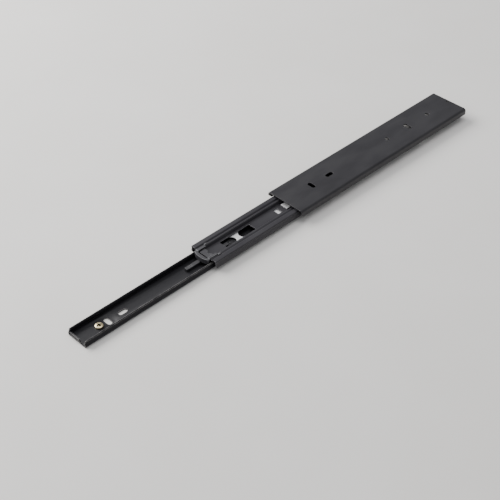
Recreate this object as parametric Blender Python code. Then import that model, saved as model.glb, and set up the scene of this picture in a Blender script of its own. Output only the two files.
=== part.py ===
"""A three-section, full-extension ball-bearing drawer slide, drawn out to its front stop.

The cabinet member is screwed to the cabinet by its flat web, whose mounting face is the plane z = 0.
Everything else hangs below it: the intermediate member runs in the cabinet member on the outer row of
balls, and the drawer member runs in the intermediate member on the inner row. X runs along the slide,
from the drawer's front to the cabinet's back, and the origin is the middle of the mounting face.
Closing moves the members along +X. All sizes are in metres.
"""

from math import asin, cos, pi, radians, sin, sqrt, tan

import bmesh
import bpy
from mathutils import Matrix, Vector

MM = 0.001

# Overall sizes of the slide when closed, and its travels
CABINET_LENGTH = 250 * MM
WIDTH = 45.5 * MM
THICKNESS = 12.7 * MM
OUTER_TRAVEL = 105 * MM  # intermediate member out of the cabinet member
INNER_TRAVEL = CABINET_LENGTH - OUTER_TRAVEL  # full extension: both travels add up to the length

# Balls and the raceways round them
BALL_DIAMETER = 4.76 * MM
BALL_CLEARANCE = 0.15 * MM
RACE = BALL_DIAMETER / 2 + BALL_CLEARANCE
OUTER_BALLS_PER_SIDE = 7
INNER_BALLS_PER_SIDE = 6

# Sheet thicknesses
CABINET_SHEET = 1.2 * MM
INTERMEDIATE_SHEET = 1.0 * MM
DRAWER_SHEET = 1.2 * MM
CAGE_SHEET = 0.5 * MM
INSIDE_BEND = 0.2 * MM  # inside radius of the intermediate member's tight bends
DRAWER_BEND = 0.4 * MM  # inside radius between the drawer member's web and flanges

# Shared clearances
TOUCH = 0.3 * MM  # between pieces that rest on or stop against each other
SLIDE_GAP = 0.45 * MM  # beside pieces that slide past each other
CLOSED_GAP = 0.5 * MM  # between the closed members and the rear buffer
PAST = 1 * MM  # how far a guide solid runs past the faces it cuts
OVERLAP = 0.5 * MM  # how far the solids of one moulding run into each other

# Cross-section, as heights above the drawer's side
INNER_BALL_HEIGHT = 4.3 * MM
TRACK_LEAN = radians(30)  # slope of the line from the inner ball's centre to the outer ball's
CABINET_LIP_ANGLE = radians(42)
INTERMEDIATE_LIP_ANGLE = radians(60)
DRAWER_LIP_ANGLE = radians(45)
CABINET_BEND = 1.6 * MM  # inside radius between the cabinet member's web and flange
CAGE_ROOM = 1.3 * MM  # from the cabinet web down to the intermediate shoulders
VALLEY_GAP = 0.26 * MM  # from the valley's underside down to the inner cage's step
CREST_DROP = 0.5 * MM  # the crest and the recessed floor, below the shoulders
FLOOR_DROP = 3.5 * MM
CREST_WIDTH = 0.9 * MM
VALLEY_OUT = 2.7 * MM  # from the crest to the valley
RECESS_WALL_LEAN = 1.0 * MM
CORNER = 0.7 * MM  # radius of the open corners of the pressed sections
CAGE_CORNER = 0.35 * MM
CAGE_RIM = 0.55 * MM  # strip left under each ball pocket

# Lengthwise features
REAR_BUFFER_DEPTH = 6 * MM
MEMBER_LENGTH = CABINET_LENGTH - REAR_BUFFER_DEPTH  # intermediate member
DRAWER_LENGTH = MEMBER_LENGTH - CLOSED_GAP
CAGE_TONGUE_REACH = 1.6 * MM  # the outer cage's tongue, past the cabinet member's front
CAGE_TONGUE_WIDTH = 8.2 * MM
CAGE_TONGUE_BEND = 5 * MM  # from the cabinet member's front to the bend where the tongue rises to the strip
CAGE_OPENINGS = 3
CAGE_OPENING_SHARE = 0.72  # of its pitch, the rest being the bridge
CAGE_END = 4 * MM  # from a cage's end to its member's end
BALL_END = 6 * MM  # from a cage's end to its last ball
CABINET_CLIP = 4.8 * MM  # the front corners of the cabinet member's flanges, cut off
INTERMEDIATE_CLIP = 2.2 * MM
DRAWER_CLIP = 2 * MM

# Tab turned up from the drawer member's front end, which stops against the bumper
TAB_INSET = 0.1 * MM
TAB_FAR_GAP = 0.4 * MM  # beside the +Y flange
TAB_NEAR_TOP = -3 * MM
TAB_NEAR_FOOT = -5 * MM

# Screw holes and slots, and their distances from their member's front end
SCREW_HOLE = 4.5 * MM
SLOT_LENGTH = 9.4 * MM
DRAWER_SCREW_FRONT = 24 * MM
DRAWER_CROSS_SLOT = 33.4 * MM
DRAWER_LONG_SLOT = 50 * MM
DRAWER_SCREW_FROM_REAR = 17 * MM
CABINET_CROSS_SLOT = 37 * MM
CABINET_LONG_SLOT = 62 * MM
CABINET_HOLE_PITCH = 32 * MM

# Rear buffer and rear stop
BUFFER_BOSS = 2.6 * MM
BUFFER_SIDE_GAP = 1.2 * MM
BUFFER_SHOULDER = 5 * MM  # straight part of its sides
BUFFER_TAPER = 3 * MM
REAR_STOP_CENTRE = 6 * MM  # from the intermediate member's rear end
REAR_STOP_LENGTH = 8 * MM
REAR_STOP_WIDTH = 12 * MM
STOP_PIN = 3 * MM
STOP_PIN_HEAD = 0.9 * MM

# Openings in the intermediate member's floor
WINDOW_FRONT = 24 * MM
WINDOW_LENGTH = 38 * MM
WINDOW_WIDTH = 9.4 * MM
WINDOW_BOW = 0.5 * MM  # how far the middle of its rear edge curves in
PEEP_HOLE_FRONT = 92.7 * MM
PEEP_HOLE_LENGTH = 4.6 * MM
PEEP_HOLE_WIDTH = 7.4 * MM

# The inner cage's bridge, seen through the window, and its openings
BRIDGE_CENTRE = 42.4 * MM
BRIDGE_LENGTH = 5.3 * MM
CAGE_SLOT_LENGTH = 27 * MM
CAGE_SLOT_WIDTH = 11.6 * MM

# Front bumper
BUMPER_LIP_REACH = 5 * MM
BUMPER_HALF_WIDTH = 9.2 * MM
BUMPER_LIP_ROUND = 2.2 * MM  # how far the lip's ends fall back from its middle
BUMPER_PLATE_LENGTH = 7 * MM
BUMPER_GRIP = 0.9 * MM  # thickness of the plate under the floor
BUMPER_TOP = 2.2 * MM  # thickness of the plate on the floor
STOP_FRONT = 1.6 * MM
STOP_LENGTH = 3.2 * MM
RELIEF_LENGTH = 2.6 * MM  # scoop in the plate's rear edge
RELIEF_WIDTH = 4.6 * MM
RELIEF_DEPTH = 1 * MM
SLIT_FRONT = -1.4 * MM
SLIT_REAR = -0.8 * MM
SLIT_HALF_LENGTH = 5 * MM
SLIT_DEPTH = 1.4 * MM

# Release lever, measured from the intermediate member's front when the slide is drawn out
LEVER_TIP = -21 * MM
LEVER_PIVOT = 35 * MM
LEVER_WIDTH = 4 * MM
LEVER_OFFSET = 1.1 * MM
LEVER_BOSS_RADIUS = 5 * MM
LEVER_BOSS_THICKNESS = 1.5 * MM
LEVER_TAIL = 20 * MM
TAIL_ROOT = 3.5 * MM
TAIL_OUTLINE = [
    (TAIL_ROOT, -0.5 * MM),
    (LEVER_TAIL, -3.4 * MM),
    (LEVER_TAIL, -2.6 * MM),
    (TAIL_ROOT, 0.9 * MM),
]
HOOK_REACH = 3.4 * MM
HOOK_LENGTH = 3.2 * MM
RIVET_RADIUS = 1.5 * MM
RIVET_HEAD_RADIUS = 2.9 * MM
RIVET_HEAD = 0.95 * MM
RIVET_INSET = 0.2 * MM

# Drawer screws
SCREW_RADIUS = 1.75 * MM
SCREW_LENGTH = 13 * MM
SCREW_HEAD_RADIUS = 3.85 * MM
SCREW_HEAD = 1.8 * MM
SCREW_POINT = 3 * MM  # length of the tapering end
SCREW_TIP_LENGTH = 0.3 * MM
RECESS_SPAN = 3.8 * MM
RECESS_WIDTH = 0.9 * MM
RECESS_DEPTH = 1.1 * MM
QUARTERS = (0, pi / 2, pi, 3 * pi / 2)

# Places in the cross-section that follow from the sizes above; heights become z below the mounting face
DRAWER_FACE = -THICKNESS
INNER_BALL_Z = DRAWER_FACE + INNER_BALL_HEIGHT
TRACK = RACE + INTERMEDIATE_SHEET / 2  # from a ball's centre to the middle of the intermediate sheet
OUTER_BALL_Z = INNER_BALL_Z + 2 * TRACK * sin(TRACK_LEAN)
OUTER_BALL_Y = WIDTH / 2 - CABINET_SHEET - RACE
INNER_BALL_Y = OUTER_BALL_Y - 2 * TRACK * cos(TRACK_LEAN)
DRAWER_WEB_TOP = DRAWER_FACE + DRAWER_SHEET
DRAWER_LIP_TOP = INNER_BALL_Z + (RACE + DRAWER_SHEET) * sin(DRAWER_LIP_ANGLE)
DRAWER_CHANNEL = INNER_BALL_Y - RACE - DRAWER_SHEET  # half the clear width between its flanges
SHOULDER_TOP = -CABINET_SHEET - CAGE_ROOM
FLOOR_TOP = SHOULDER_TOP - FLOOR_DROP
FLOOR_UNDERSIDE = FLOOR_TOP - INTERMEDIATE_SHEET
INNER_CAGE_WALL_Y = DRAWER_CHANNEL - SLIDE_GAP - CAGE_SHEET / 2
CREST_Y = INNER_CAGE_WALL_Y - CAGE_SHEET / 2 - SLIDE_GAP - INTERMEDIATE_SHEET / 2
FLOOR_HALF_WIDTH = CREST_Y - RECESS_WALL_LEAN
OUTER_CAGE_MIDDLE = SHOULDER_TOP + CAGE_ROOM / 2
TONGUE_MIDDLE = FLOOR_TOP + TOUCH + CAGE_SHEET / 2
INNER_CAGE_FLOOR_TOP = FLOOR_UNDERSIDE - TOUCH
INNER_CAGE_UNDERSIDE = INNER_CAGE_FLOOR_TOP - CAGE_SHEET
INNER_CAGE_STEP = DRAWER_LIP_TOP + TOUCH  # underside of its step over the drawer member's lips
VALLEY_UNDERSIDE = INNER_CAGE_STEP + CAGE_SHEET + VALLEY_GAP
SCREW_HEAD_TOP = DRAWER_WEB_TOP + TOUCH / 2 + SCREW_HEAD
LEVER_BOTTOM = DRAWER_WEB_TOP + TOUCH
BUMPER_UNDERSIDE = INNER_CAGE_UNDERSIDE - TOUCH
TAB_TOP = BUMPER_UNDERSIDE - TOUCH
STOP_SIDE = LEVER_OFFSET - LEVER_WIDTH / 2 - SLIDE_GAP  # the stop block's edge beside the lever
STOP_FOOT = SCREW_HEAD_TOP + SLIDE_GAP / 2  # the stop blocks clear the drawer screws' heads

# Places along the slide, from the middle of the cabinet member
CABINET_FRONT = -CABINET_LENGTH / 2
INTERMEDIATE_FRONT = CABINET_FRONT - OUTER_TRAVEL
DRAWER_FRONT = INTERMEDIATE_FRONT - INNER_TRAVEL
BUMPER_REAR = BUMPER_PLATE_LENGTH - TOUCH


def clear_scene():
    for item in list(bpy.data.objects):
        bpy.data.objects.remove(item, do_unlink=True)


def material(name, colour, roughness, metallic):
    made = bpy.data.materials.new(name)
    made.use_nodes = True
    shader = made.node_tree.nodes["Principled BSDF"]
    shader.inputs["Base Color"].default_value = (*colour, 1)
    shader.inputs["Roughness"].default_value = roughness
    shader.inputs["Metallic"].default_value = metallic
    return made


def group(name, location, parent=None):
    """An empty that carries the pieces that move together, at the front end of their member."""
    empty = bpy.data.objects.new(name, None)
    empty.location = location
    empty.parent = parent
    bpy.context.collection.objects.link(empty)
    return empty


def finish_mesh(name, shape, parent, finish, location=(0, 0, 0), crease=30):
    """Turns a bmesh into a named object under its group, smooth apart from its creases."""
    bmesh.ops.recalc_face_normals(shape, faces=shape.faces)
    mesh = bpy.data.meshes.new(name)
    shape.to_mesh(mesh)
    shape.free()
    mesh.shade_smooth()
    mesh.set_sharp_from_angle(angle=radians(crease))
    return place(name, mesh, parent, finish, location)


def place(name, mesh, parent, finish, location=(0, 0, 0)):
    item = bpy.data.objects.new(name, mesh)
    item.parent = parent
    item.location = location
    if finish is not None and not mesh.materials:
        mesh.materials.append(finish)
    bpy.context.collection.objects.link(item)
    return item


def combine(body, tool, operation):
    """Adds or takes away a guide solid, which stays as a hidden wire shape."""
    tool.hide_render = True
    tool.display_type = "WIRE"
    step = body.modifiers.new(operation.title() + " " + tool.name, "BOOLEAN")
    step.operation = operation
    step.solver = "EXACT"
    step.object = tool


def arc(centre, radius, start, end, steps):
    """Points (y, z) round an arc, angles in radians from +Y towards +Z."""
    turns = [start + (end - start) * i / steps for i in range(steps + 1)]
    return [(centre[0] + radius * cos(a), centre[1] + radius * sin(a)) for a in turns]


def rounded(points, radius, steps=3):
    """The same path with each inner corner replaced by an arc of the given radius."""
    path = [points[0]]
    for before, corner, after in zip(points, points[1:], points[2:]):
        back = (Vector(before) - Vector(corner)).normalized()
        on = (Vector(after) - Vector(corner)).normalized()
        half_angle = back.angle(on) / 2
        middle = Vector(corner) + (back + on).normalized() * (radius / sin(half_angle))
        cut = sqrt((middle - Vector(corner)).length_squared - radius**2)
        first = Vector(corner) + back * cut
        last = Vector(corner) + on * cut
        for i in range(steps + 1):
            straight = first.lerp(last, i / steps)
            path.append(tuple(middle + (straight - middle).normalized() * radius))
    return path + [points[-1]]


def sheet_outline(half, thickness):
    """Closed outline of a bent sheet from the middle line of its +Y half, whose first point is at y = 0.
    That point only sets the direction of the web, and is left out of the outline."""
    line = [Vector((-y, z)) for y, z in reversed(half[1:])] + [Vector(p) for p in half[1:]]
    sides = ([], [])
    for i, point in enumerate(line):
        before = (point - line[i - 1]).normalized() if i else (line[1] - point).normalized()
        after = (line[i + 1] - point).normalized() if i + 1 < len(line) else before
        across = Vector((-(before + after).y, (before + after).x)).normalized()
        reach = thickness / 2 / across.dot(Vector((-after.y, after.x)))
        sides[0].append(point + across * reach)
        sides[1].append(point - across * reach)
    return [tuple(p) for p in sides[0] + sides[1][::-1]]


def extrude(outline, start, end, axis="X"):
    """A closed solid from a flat outline, drawn out along X (outline in y, z) or along Z (outline in x, y)
    or along Y (outline in x, z)."""
    shape = bmesh.new()
    lift = {"X": lambda p: (start, *p), "Z": lambda p: (*p, start), "Y": lambda p: (p[0], start, p[1])}
    travel = {"X": Vector((1, 0, 0)), "Z": Vector((0, 0, 1)), "Y": Vector((0, 1, 0))}[axis] * (end - start)
    face = shape.faces.new([shape.verts.new(lift[axis](p)) for p in outline])
    drawn = bmesh.ops.extrude_face_region(shape, geom=[face])
    bmesh.ops.translate(
        shape, vec=travel, verts=[v for v in drawn["geom"] if isinstance(v, bmesh.types.BMVert)]
    )
    return shape


def box(low, high):
    corners = [(low[0], low[1]), (high[0], low[1]), (high[0], high[1]), (low[0], high[1])]
    return extrude(corners, low[2], high[2], "Z")


def cylinder(radius, length, centre, axis, segments=20):
    """A closed cylinder whose middle is at the given point."""
    turn = {"Z": Matrix(), "Y": Matrix.Rotation(pi / 2, 4, "X"), "X": Matrix.Rotation(pi / 2, 4, "Y")}[axis]
    shape = bmesh.new()
    bmesh.ops.create_cone(
        shape, cap_ends=True, segments=segments, radius1=radius, radius2=radius, depth=length,
        matrix=Matrix.Translation(centre) @ turn,
    )
    return shape


def lathe(profile, segments):
    """A closed solid turned about Z from (radius, z) points whose first and last are on the axis."""
    shape = bmesh.new()
    rings = []
    for radius, z in profile[1:-1]:
        turns = [2 * pi * i / segments for i in range(segments)]
        rings.append([shape.verts.new((radius * cos(a), radius * sin(a), z)) for a in turns])
    tips = [shape.verts.new((0, 0, profile[0][1])), shape.verts.new((0, 0, profile[-1][1]))]
    for i in range(segments):
        j = (i + 1) % segments
        shape.faces.new((tips[0], rings[0][i], rings[0][j]))
        shape.faces.new((tips[1], rings[-1][j], rings[-1][i]))
        for one, two in zip(rings, rings[1:]):
            shape.faces.new((one[i], two[i], two[j], one[j]))
    return shape


def slot(centre, length, width, axis="X", steps=8):
    """A round-ended slot in plan, its length along X or along Y."""
    half = max(length - width, 0) / 2
    ends = arc((half, 0), width / 2, -pi / 2, pi / 2, steps)
    rear = arc((-half, 0), width / 2, pi / 2, 3 * pi / 2, steps)
    ends += rear if half else rear[1:-1]
    turned = ends if axis == "X" else [(-v, u) for u, v in ends]
    return [(centre[0] + u, centre[1] + v) for u, v in turned]


def through(body, name, outline, top, bottom, parent):
    """Cuts a plan outline through a flat sheet whose faces are at top and bottom."""
    tool = finish_mesh(name, extrude(outline, bottom - PAST / 2, top + PAST / 2, "Z"), parent, None)
    combine(body, tool, "DIFFERENCE")


def clip_front(body, name, start, end, depth, parent):
    """Cuts off a member's front corner, from height start on its front end to height end at this depth."""
    over = (end - start) * PAST / depth
    outline = [(-PAST, start - over), (depth + PAST, end + over), (-PAST, end + over)]
    tool = finish_mesh(name, extrude(outline, -WIDTH, WIDTH, "Y"), parent, None)
    combine(body, tool, "DIFFERENCE")


def groove_angle(ball_z, bend_z, bend, race):
    """Angle above or below the ball's centre at which its groove meets the tight bend beside the web."""
    return asin((bend_z - ball_z) / (race + bend))


def cabinet_section():
    """Flat web, flanges turned down at both edges, and lips curled in under the outer balls."""
    middle = -CABINET_SHEET / 2
    flange = WIDTH / 2 - CABINET_SHEET / 2
    bend = CABINET_BEND + CABINET_SHEET / 2
    half = [(0, middle)]
    half += arc((flange - bend, middle - bend), bend, pi / 2, 0, 5)
    half += arc((OUTER_BALL_Y, OUTER_BALL_Z), RACE + CABINET_SHEET / 2, 0, -CABINET_LIP_ANGLE, 5)
    return sheet_outline(half, CABINET_SHEET)


def intermediate_section():
    """Recessed floor, crests, valleys and shoulders, then an S-shaped flange: a groove outside for the
    outer balls and a groove inside for the inner balls."""
    sheet = INTERMEDIATE_SHEET / 2
    bend = INSIDE_BEND + sheet
    bend_z = SHOULDER_TOP - sheet - bend
    angle = groove_angle(OUTER_BALL_Z, bend_z, bend, TRACK)
    bend_y = OUTER_BALL_Y - (TRACK + bend) * cos(angle)
    pressed = [
        (0, FLOOR_TOP - sheet),
        (FLOOR_HALF_WIDTH, FLOOR_TOP - sheet),
        (CREST_Y, SHOULDER_TOP - CREST_DROP - sheet),
        (CREST_Y + CREST_WIDTH, SHOULDER_TOP - CREST_DROP - sheet),
        (CREST_Y + VALLEY_OUT, VALLEY_UNDERSIDE + sheet),
        (bend_y, SHOULDER_TOP - sheet),
    ]
    half = rounded(pressed, CORNER)[:-1]
    half += arc((bend_y, bend_z), bend, pi / 2, -angle, 5)
    half += arc((OUTER_BALL_Y, OUTER_BALL_Z), TRACK, pi - angle, pi + TRACK_LEAN, 7)[1:]
    half += arc((INNER_BALL_Y, INNER_BALL_Z), TRACK, TRACK_LEAN, -INTERMEDIATE_LIP_ANGLE, 8)[1:]
    return sheet_outline(half, INTERMEDIATE_SHEET)


def drawer_section():
    """Flat web on the drawer's side, and flanges with a groove outside for the inner balls."""
    sheet = DRAWER_SHEET / 2
    bend = DRAWER_BEND + sheet
    groove = RACE + sheet
    bend_z = DRAWER_FACE + sheet + bend
    angle = groove_angle(INNER_BALL_Z, bend_z, bend, groove)
    half = [(0, DRAWER_FACE + sheet)]
    half += arc((INNER_BALL_Y - (groove + bend) * cos(angle), bend_z), bend, -pi / 2, -angle, 5)
    half += arc((INNER_BALL_Y, INNER_BALL_Z), groove, pi - angle, pi - DRAWER_LIP_ANGLE, 8)[1:]
    return sheet_outline(half, DRAWER_SHEET)


def outer_cage_section():
    """A flat strip over the shoulders, with its edges turned down past the outer balls."""
    foot = OUTER_BALL_Z - RACE - CAGE_RIM
    path = [(0, OUTER_CAGE_MIDDLE), (OUTER_BALL_Y, OUTER_CAGE_MIDDLE), (OUTER_BALL_Y, foot)]
    return sheet_outline(rounded(path, CAGE_CORNER + CAGE_SHEET / 2), CAGE_SHEET)


def tongue_profile(root):
    """The outer cage's tongue from the side, in x and z: it drops at 45 degrees from the strip to just above
    the recessed floor, and runs forward past the cabinet member's front."""
    path = [
        (-CAGE_TONGUE_REACH, TONGUE_MIDDLE),
        (CAGE_TONGUE_BEND, TONGUE_MIDDLE),
        (root, OUTER_CAGE_MIDDLE),
        (root + OVERLAP, OUTER_CAGE_MIDDLE),
    ]
    lift = CAGE_SHEET / 2
    shift = lift * tan(pi / 8)
    lean = [0, shift, shift, 0]
    upper = [(x - s, z + lift) for (x, z), s in zip(path, lean)]
    lower = [(x + s, z - lift) for (x, z), s in zip(path, lean)]
    return upper + lower[::-1]


def inner_cage_section():
    """A strip dished under the recessed floor, stepped over the drawer member's lips and turned down."""
    middle = INNER_CAGE_FLOOR_TOP - CAGE_SHEET / 2
    over_lip = INNER_CAGE_STEP + CAGE_SHEET / 2
    foot = INNER_BALL_Z - RACE - CAGE_RIM
    path = [
        (0, middle),
        (INNER_CAGE_WALL_Y, middle),
        (INNER_CAGE_WALL_Y, over_lip),
        (INNER_BALL_Y, over_lip),
        (INNER_BALL_Y, foot),
    ]
    return sheet_outline(rounded(path, CAGE_CORNER + CAGE_SHEET / 2), CAGE_SHEET)


def spread(first, last, count):
    return [first + (last - first) * i / (count - 1) for i in range(count)]


def ball_pockets(cage, name, places, side, height, parent):
    """One round pocket through each turned-down edge for every ball."""
    reach = 2 * CAGE_SHEET + 4 * CAGE_CORNER
    tools = bmesh.new()
    for x in places:
        for y in (-side, side):
            pocket = cylinder(RACE, reach, (x, y, height), "Y", 16)
            mesh = bpy.data.meshes.new(name)
            pocket.to_mesh(mesh)
            pocket.free()
            tools.from_mesh(mesh)
            bpy.data.meshes.remove(mesh)
    combine(cage, finish_mesh(name, tools, parent, None), "DIFFERENCE")


def add_balls(name, places, side, height, parent, finish):
    shape = bmesh.new()
    bmesh.ops.create_icosphere(shape, subdivisions=2, radius=BALL_DIAMETER / 2)
    mesh = bpy.data.meshes.new(name)
    shape.to_mesh(mesh)
    shape.free()
    mesh.shade_smooth()
    for label, y in (("left", side), ("right", -side)):
        for number, x in enumerate(places, 1):
            place(f"{name}_{label}_{number}", mesh, parent, finish, (x, y, height))


def add_cabinet_member(parent, finish):
    body = finish_mesh("cabinet_member", extrude(cabinet_section(), 0, CABINET_LENGTH), parent, finish)
    rear_hole = CABINET_LENGTH - CABINET_CROSS_SLOT
    boss_hole = BUFFER_BOSS + 2 * TOUCH
    holes = {
        "front_cross_slot": slot((CABINET_CROSS_SLOT, 0), SLOT_LENGTH, SCREW_HOLE, "Y"),
        "front_long_slot": slot((CABINET_LONG_SLOT, 0), SLOT_LENGTH, SCREW_HOLE, "X"),
        "middle_hole": slot((rear_hole - 2 * CABINET_HOLE_PITCH, 0), SCREW_HOLE, SCREW_HOLE),
        "rear_cross_slot": slot((rear_hole - CABINET_HOLE_PITCH, 0), SLOT_LENGTH, SCREW_HOLE, "Y"),
        "rear_hole": slot((rear_hole, 0), SCREW_HOLE, SCREW_HOLE),
        "buffer_hole": slot((CABINET_LENGTH - REAR_BUFFER_DEPTH / 2, 0), boss_hole, boss_hole),
    }
    for name, outline in holes.items():
        through(body, "cabinet_" + name, outline, 0, -CABINET_SHEET, parent)
    start = OUTER_BALL_Z + CABINET_SHEET
    clip_front(body, "cabinet_front_clip", start, start - CABINET_CLIP, CABINET_CLIP, parent)


def add_rear_buffer(parent, finish):
    """A soft block across the back of the cabinet member, held by a boss in a hole of its web."""
    top = -CABINET_SHEET - TOUCH
    foot = DRAWER_FACE + DRAWER_SHEET
    wide = OUTER_BALL_Y - BUFFER_SIDE_GAP
    narrow = wide - BUFFER_TAPER
    shoulder = top - BUFFER_SHOULDER
    half = [(wide, top), (wide, shoulder), (narrow, foot)]
    outline = half + [(-y, z) for y, z in reversed(half)]
    start = CABINET_LENGTH - REAR_BUFFER_DEPTH + CLOSED_GAP
    body = finish_mesh("rear_buffer", extrude(outline, start, CABINET_LENGTH - TOUCH), parent, finish)
    middle = CABINET_LENGTH - REAR_BUFFER_DEPTH / 2
    height = CABINET_SHEET + OVERLAP
    boss = cylinder(BUFFER_BOSS / 2, height, (middle, 0, -TOUCH - height / 2), "Z", 16)
    combine(body, finish_mesh("rear_buffer_boss", boss, parent, None), "UNION")


def add_outer_cage(parent, finish, ball_finish):
    """Local x = 0 is the cabinet member's front end, where the cage stands when the slide is drawn out."""
    end = MEMBER_LENGTH - OUTER_TRAVEL - CAGE_END
    start = CAGE_END
    body = finish_mesh("outer_cage", extrude(outer_cage_section(), start, end), parent, finish)
    low = OUTER_CAGE_MIDDLE - CAGE_SHEET / 2
    high = OUTER_CAGE_MIDDLE + CAGE_SHEET / 2
    root = CAGE_TONGUE_BEND + OUTER_CAGE_MIDDLE - TONGUE_MIDDLE
    half = CAGE_TONGUE_WIDTH / 2
    side = half + TOUCH
    notch = [(start - PAST, -side), (root, -side), (root, side), (start - PAST, side)]
    through(body, "outer_cage_notch", notch, high, low, parent)
    bent = extrude(tongue_profile(root), -half, half, "Y")
    combine(body, finish_mesh("outer_cage_tongue", bent, parent, None), "UNION")
    pitch = (end - start) / CAGE_OPENINGS
    for i in range(CAGE_OPENINGS):
        opening = slot((start + pitch * (i + 0.5), 0), pitch * CAGE_OPENING_SHARE, 2 * CREST_Y)
        through(body, f"outer_cage_opening_{i + 1}", opening, high, low, parent)
    places = spread(start + BALL_END, end - BALL_END, OUTER_BALLS_PER_SIDE)
    ball_pockets(body, "outer_cage_pockets", places, OUTER_BALL_Y, OUTER_BALL_Z, parent)
    add_balls("outer_ball", places, OUTER_BALL_Y, OUTER_BALL_Z, parent, ball_finish)


def add_intermediate_member(parent, finish):
    shape = extrude(intermediate_section(), 0, MEMBER_LENGTH)
    body = finish_mesh("intermediate_member", shape, parent, finish)
    half = WINDOW_WIDTH / 2
    rear = WINDOW_FRONT + WINDOW_LENGTH
    curve = [(rear - WINDOW_BOW * (1 - (v / half) ** 2), v) for v in spread(-half, half, 7)]
    window = [(WINDOW_FRONT, half), (WINDOW_FRONT, -half)] + curve
    through(body, "window", window, FLOOR_TOP, FLOOR_UNDERSIDE, parent)
    across = PEEP_HOLE_WIDTH / 2
    peep = [
        (PEEP_HOLE_FRONT, -across),
        (PEEP_HOLE_FRONT + PEEP_HOLE_LENGTH, -across),
        (PEEP_HOLE_FRONT + PEEP_HOLE_LENGTH, across),
        (PEEP_HOLE_FRONT, across),
    ]
    through(body, "peep_hole", peep, FLOOR_TOP, FLOOR_UNDERSIDE, parent)
    pin_hole = STOP_PIN + 2 * TOUCH
    hole = slot((MEMBER_LENGTH - REAR_STOP_CENTRE, 0), pin_hole, pin_hole)
    through(body, "rear_stop_hole", hole, FLOOR_TOP, FLOOR_UNDERSIDE, parent)
    clip_front(body, "intermediate_front_clip", INNER_BALL_Z, DRAWER_FACE, INTERMEDIATE_CLIP, parent)


def add_front_bumper(parent, finish):
    """A plastic clip round the front edge of the floor: a bowed lip in front, a plate on the floor, a grip
    under it, and the stop block that the lever's hook meets."""
    lip_rear = -TOUCH
    reach = BUMPER_LIP_REACH - TOUCH
    half = BUMPER_HALF_WIDTH
    bow = [(lip_rear - reach + BUMPER_LIP_ROUND * (y / half) ** 2, y) for y in spread(half, -half, 13)]
    top = SHOULDER_TOP - CREST_DROP
    lip = extrude([(lip_rear, half), *bow, (lip_rear, -half)], BUMPER_UNDERSIDE, top, "Z")
    body = finish_mesh("front_bumper", lip, parent, finish)
    inside = FLOOR_HALF_WIDTH - INTERMEDIATE_SHEET - CORNER
    plate_low = FLOOR_TOP + TOUCH / 2
    plate_top = plate_low + BUMPER_TOP
    plate = box((lip_rear - OVERLAP, -inside, plate_low), (BUMPER_REAR, inside, plate_top))
    combine(body, finish_mesh("front_bumper_plate", plate, parent, None), "UNION")
    grip_top = FLOOR_UNDERSIDE - TOUCH / 2
    stop_rear = STOP_FRONT + STOP_LENGTH
    grip = box((lip_rear - OVERLAP, -inside, BUMPER_UNDERSIDE), (stop_rear, inside, grip_top))
    combine(body, finish_mesh("front_bumper_grip", grip, parent, None), "UNION")
    stop_top = BUMPER_UNDERSIDE + OVERLAP / 2
    stop = box((STOP_FRONT, -inside, STOP_FOOT), (stop_rear, STOP_SIDE, stop_top))
    combine(body, finish_mesh("front_bumper_stop", stop, parent, None), "UNION")
    scoop = slot((BUMPER_REAR, 0), RELIEF_LENGTH, RELIEF_WIDTH, "Y")
    relief = extrude(scoop, plate_top - RELIEF_DEPTH, plate_top + PAST, "Z")
    combine(body, finish_mesh("front_bumper_relief", relief, parent, None), "DIFFERENCE")
    slit = box((SLIT_FRONT, -SLIT_HALF_LENGTH, top - SLIT_DEPTH), (SLIT_REAR, SLIT_HALF_LENGTH, top + PAST))
    combine(body, finish_mesh("front_bumper_slit", slit, parent, None), "DIFFERENCE")


def add_rear_stop(parent, finish):
    """A block under the back of the intermediate floor, held by its own headed pin through the floor."""
    centre = MEMBER_LENGTH - REAR_STOP_CENTRE
    long, wide = REAR_STOP_LENGTH / 2, REAR_STOP_WIDTH / 2
    block = box((centre - long, -wide, STOP_FOOT), (centre + long, wide, FLOOR_UNDERSIDE - TOUCH / 2))
    body = finish_mesh("rear_stop", block, parent, finish)
    foot = STOP_FOOT + OVERLAP
    head = FLOOR_TOP + TOUCH / 2
    profile = [
        (0, foot),
        (STOP_PIN / 2, foot),
        (STOP_PIN / 2, head),
        (STOP_PIN * 0.9, head),
        (STOP_PIN * 0.75, head + STOP_PIN_HEAD),
        (0, head + STOP_PIN_HEAD),
    ]
    pin = finish_mesh("rear_stop_pin", lathe(profile, 16), parent, None, (centre, 0, 0))
    combine(body, pin, "UNION")


def add_inner_cage(parent, finish, ball_finish):
    """Local x = 0 is the intermediate member's front end, where the cage stands when it is drawn out."""
    start = BUMPER_REAR + TOUCH
    end = DRAWER_LENGTH - INNER_TRAVEL - CLOSED_GAP
    body = finish_mesh("inner_cage", extrude(inner_cage_section(), start, end), parent, finish)
    high = INNER_CAGE_FLOOR_TOP
    offset = (BRIDGE_LENGTH + CAGE_SLOT_LENGTH) / 2
    for label, centre in (("front", BRIDGE_CENTRE - offset), ("rear", BRIDGE_CENTRE + offset)):
        outline = slot((centre, 0), CAGE_SLOT_LENGTH, CAGE_SLOT_WIDTH)
        through(body, f"inner_cage_{label}_opening", outline, high, high - CAGE_SHEET, parent)
    places = spread(start + BALL_END, end - BALL_END, INNER_BALLS_PER_SIDE)
    ball_pockets(body, "inner_cage_pockets", places, INNER_BALL_Y, INNER_BALL_Z, parent)
    add_balls("inner_ball", places, INNER_BALL_Y, INNER_BALL_Z, parent, ball_finish)


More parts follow.
